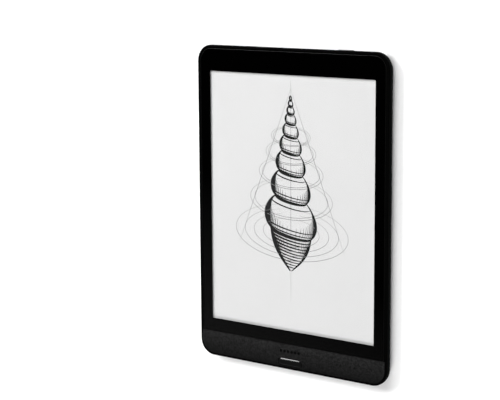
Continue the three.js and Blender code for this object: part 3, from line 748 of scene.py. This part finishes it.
def power_button():
    """A domed pill with a square flange behind the top wall."""
    length, tall, x, z = power_face()
    flange_y = (POWER_LOW.y, POWER_LOW.y + 0.6)
    crown = 0.3
    profile = [(0, flange_y[1] - 0.1)]
    profile += quarter_round(0, POWER_HIGH.y - crown, crown, POWER_HIGH.y, 6, hollow=True)
    profile += [(crown + 0.15, POWER_HIGH.y)]
    cap = loft("power_pill", [upright(pill(length, tall, x, z, inset), y) for inset, y in profile])
    flange = block((POWER_LOW.x, POWER_HIGH.x), flange_y, (POWER_LOW.z, POWER_HIGH.z))
    combine(cap, [flange], "UNION")
    return dress(weigh_normals(cap), [GLOSS], POWER_KEY, "gloss", "power_button")


# ---- charging socket ---------------------------------------------------------------------------------

def usb_shell():
    """A drawn steel tube with a rolled lip, closed at the back."""
    sheet = 0.3
    profile = [(0, USB_HIGH.y), (0, USB_LOW.y + 0.15)]
    profile += quarter_round(0, USB_LOW.y + 0.15, 0.15, USB_LOW.y, 4, hollow=True)[1:]
    profile += quarter_round(0.15, USB_LOW.y, sheet, USB_LOW.y + 0.15, 4)[1:]
    profile += [(sheet, USB_HIGH.y - 0.4)]
    rings = [upright(pill(USB_LENGTH, USB_TALL, 0, USB_CENTRE_Z, inset), y) for inset, y in profile]
    return dress(loft("usb_tube", rings), [STEEL], DEVICE, "steel", "usb_shell")


def usb_contacts():
    """Two rows of twelve gold pads on the tongue, with the wider power pads among them."""
    pitch = 0.5
    proud, sunk = 0.03, 0.02
    front_y, back_y = TONGUE_LOW.y + 0.5, TONGUE_LOW.y + 3.6
    power_pads = (0, 3, 8, 11)
    bm = bmesh.new()
    for surface, out, into in ((TONGUE_LOW.z, -proud, sunk), (TONGUE_HIGH.z, proud, -sunk)):
        low_z, high_z = sorted((surface + out, surface + into))
        for i in range(12):
            x = (i - 5.5) * pitch
            wide = 0.17 if i in power_pads else 0.125
            sides = rounded_rect(x - wide, front_y, x + wide, back_y, (0.05,) * 4, 3)
            add_loft(bm, [level(sides, low_z), level(sides, high_z)])
    return dress(make_object("usb_contacts", bm), [GOLD], DEVICE, "steel")


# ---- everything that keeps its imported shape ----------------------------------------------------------

CARRIED_OVER = {
    PRINT: ["border_print"],
    TAPE: ["glass_tape", "battery_tape"],
    SENSOR: ["touch_sensor"],
    GUIDE: ["light_guide"],
    PAPER: ["eink_film"],
    PANEL: ["display_backplane"],
    FOAM: ["display_foam"],
    CHASSIS: ["midframe"],
    STEEL: ["processor_shield", "wifi_shield", "home_switch", "power_switch"],
    BOARD: ["main_board", "battery_board", "home_board", "power_board"],
    CHIP: ["display_driver", "processor_chip", "memory_chip", "power_chip", "usb_tongue"],
    FLEX: ["touch_flex", "display_flex", "home_flex", "power_flex", "antenna"],
    IVORY: ["light_bar", "display_connector", "touch_connector", "power_connector", "battery_socket",
            "battery_plug", "home_plunger", "power_plunger"],
    FOIL: ["battery_cell"],
    LEAD_RED: ["battery_lead"],
    LEAD_BLACK: ["antenna_lead"],
}


def dress_carried_over():
    for material, names in CARRIED_OVER.items():
        for name in names:
            paint(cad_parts[name], material)
    for name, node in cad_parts.items():
        if "_screw_" in name:
            paint(node, STEEL)
    for name in ("touch_sensor", "light_guide"):
        let_light_through(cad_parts[name])


def let_light_through(sheet):
    """Lamps, and light that surfaces scatter, pass the sheet as if it weren't there. It is still seen."""
    sheet.visible_shadow = False
    sheet.visible_diffuse = False


def paint(node, material):
    node.data.materials.clear()
    node.data.materials.append(material)


# ---- floor, light and camera -------------------------------------------------------------------------

def floor():
    half, height = 6000, -0.05
    bm = bmesh.new()
    corners = ((-half, -half), (half, -half), (half, half), (-half, half))
    bm.faces.new([bm.verts.new((x, y, height)) for x, y in corners])
    plane = make_object("studio_floor", bm)
    plane.data.materials.append(moulded("floor_paint", grey(0.95), grey(0.98), 4.0, (0.8, 0.9)))


def soft_light(name, direction, distance, size, power, mirrored=True):
    """A rectangular lamp aimed at the device. Gloss and glass show its picture only if it is mirrored."""
    light = bpy.data.lights.new(name, "AREA")
    light.shape = "RECTANGLE"
    light.size, light.size_y = size
    light.energy = power
    lamp = bpy.data.objects.new(name, light)
    away = Vector(direction).normalized()
    lamp.location = away * distance
    lamp.rotation_euler = away.to_track_quat("Z", "Y").to_euler()
    lamp.visible_glossy = mirrored
    lamp.visible_transmission = mirrored
    bpy.context.scene.collection.objects.link(lamp)


def lights():
    soft_light("key", (-0.55, 0.42, 0.72), 1.3, (0.7, 0.25), 15.7)
    soft_light("beyond_top", (0.15, 0.75, 0.65), 1.5, (1.0, 0.6), 15.1, mirrored=False)
    soft_light("beyond_bottom", (0.15, -0.8, 0.6), 1.5, (1.0, 0.6), 19.8, mirrored=False)


def studio_world():
    """Pale near the horizon, dark overhead, and a faint glow from beyond the low left corner."""
    world = bpy.data.worlds.new("studio")
    world.use_nodes = True
    nodes, links = world.node_tree.nodes, world.node_tree.links
    direction = nodes.new("ShaderNodeTexCoord").outputs["Generated"]
    axes = nodes.new("ShaderNodeSeparateXYZ")
    links.new(direction, axes.inputs["Vector"])
    towards = nodes.new("ShaderNodeVectorMath")
    towards.operation = "DOT_PRODUCT"
    towards.inputs[1].default_value = (-0.6, -0.8, 0)
    links.new(direction, towards.inputs[0])
    horizon = map_range(nodes, links, axes.outputs["Z"], (0.02, 0.2), (0.5, 0.0))
    glow = map_range(nodes, links, towards.outputs["Value"], (0.485, 1.0), (0.0, 0.53))
    total = nodes.new("ShaderNodeMath")
    total.operation = "ADD"
    links.new(horizon, total.inputs[0])
    links.new(glow, total.inputs[1])
    links.new(total.outputs["Value"], nodes["Background"].inputs["Color"])
    bpy.context.scene.world = world


def camera(target):
    """A camera that looks at the target from low on the device's right, rolled so that the device stands up."""
    azimuth, elevation, roll = math.radians(106.56), math.radians(52.89), math.radians(-103.71)
    distance = 0.9062
    data = bpy.data.cameras.new("camera")
    data.lens = 106.5
    data.sensor_width = 36.0
    data.clip_end = 50
    view = bpy.data.objects.new("camera", data)
    turn = Euler((math.pi / 2 - elevation, 0, azimuth), "XYZ").to_matrix() @ Matrix.Rotation(roll, 3, "Z")
    flat = math.cos(elevation)
    offset = Vector((math.sin(azimuth) * flat, -math.cos(azimuth) * flat, math.sin(elevation)))
    view.matrix_world = Matrix.Translation(target + offset * distance) @ turn.to_4x4()
    bpy.context.scene.collection.objects.link(view)
    bpy.context.scene.camera = view


# ---- scene -------------------------------------------------------------------------------------------

rear_cover()
front_frame()
cover_glass()
screen_drawing()
home_button()
power_button()
usb_shell()
usb_contacts()
dress_carried_over()
floor()
lights()
studio_world()
camera(Vector((-30.05, 4.27, 6.6)) * MM)
bpy.context.scene.view_settings.view_transform = "Standard"
